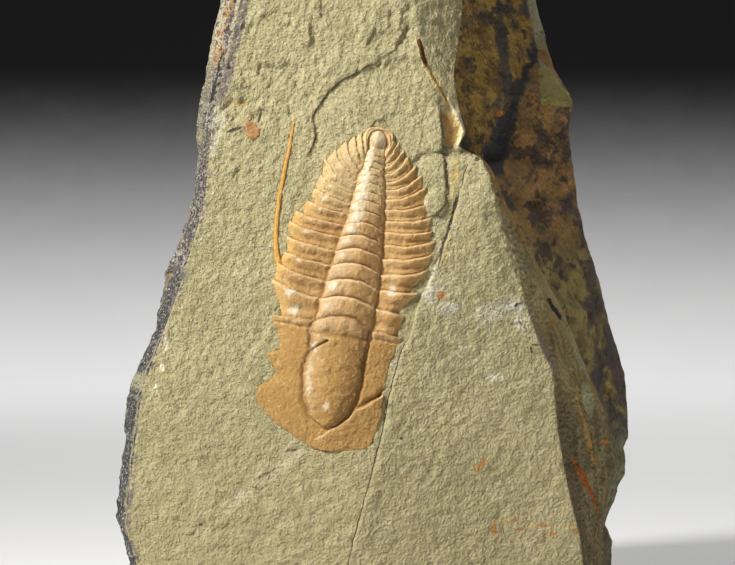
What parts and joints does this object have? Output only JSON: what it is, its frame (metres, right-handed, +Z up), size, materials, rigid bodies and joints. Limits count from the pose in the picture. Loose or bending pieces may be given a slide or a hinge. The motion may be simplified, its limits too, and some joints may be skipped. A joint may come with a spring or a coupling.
{
  "type": "hamatolenus trilobite on matrix",
  "caption": "Fossil trilobite lying head down in relief on the bedding face of a broken siltstone block, with a scrap of shell beside it.",
  "frame": {"origin": "bottom centre of the bounding box, on the flat foot that the block stands on", "axes": "+Z up, from the trilobite's head to its tail; the bedding face with the fossil looks towards -Y; +X to the right as one looks at it"},
  "size_m": [0.0823, 0.0466, 0.1046],
  "materials": {
    "siltstone": "rough broken greenish-tan siltstone, stained dark brown on its right side",
    "fossil": "matt orange-tan mineralised shell, pale where it is worn",
    "shell": "matt brown mineralised shell"
  },
  "bodies": {
    "root": {"matrix": "siltstone", "trilobite": "fossil", "shell_fragment": "shell"}
  },
  "joints": []
}
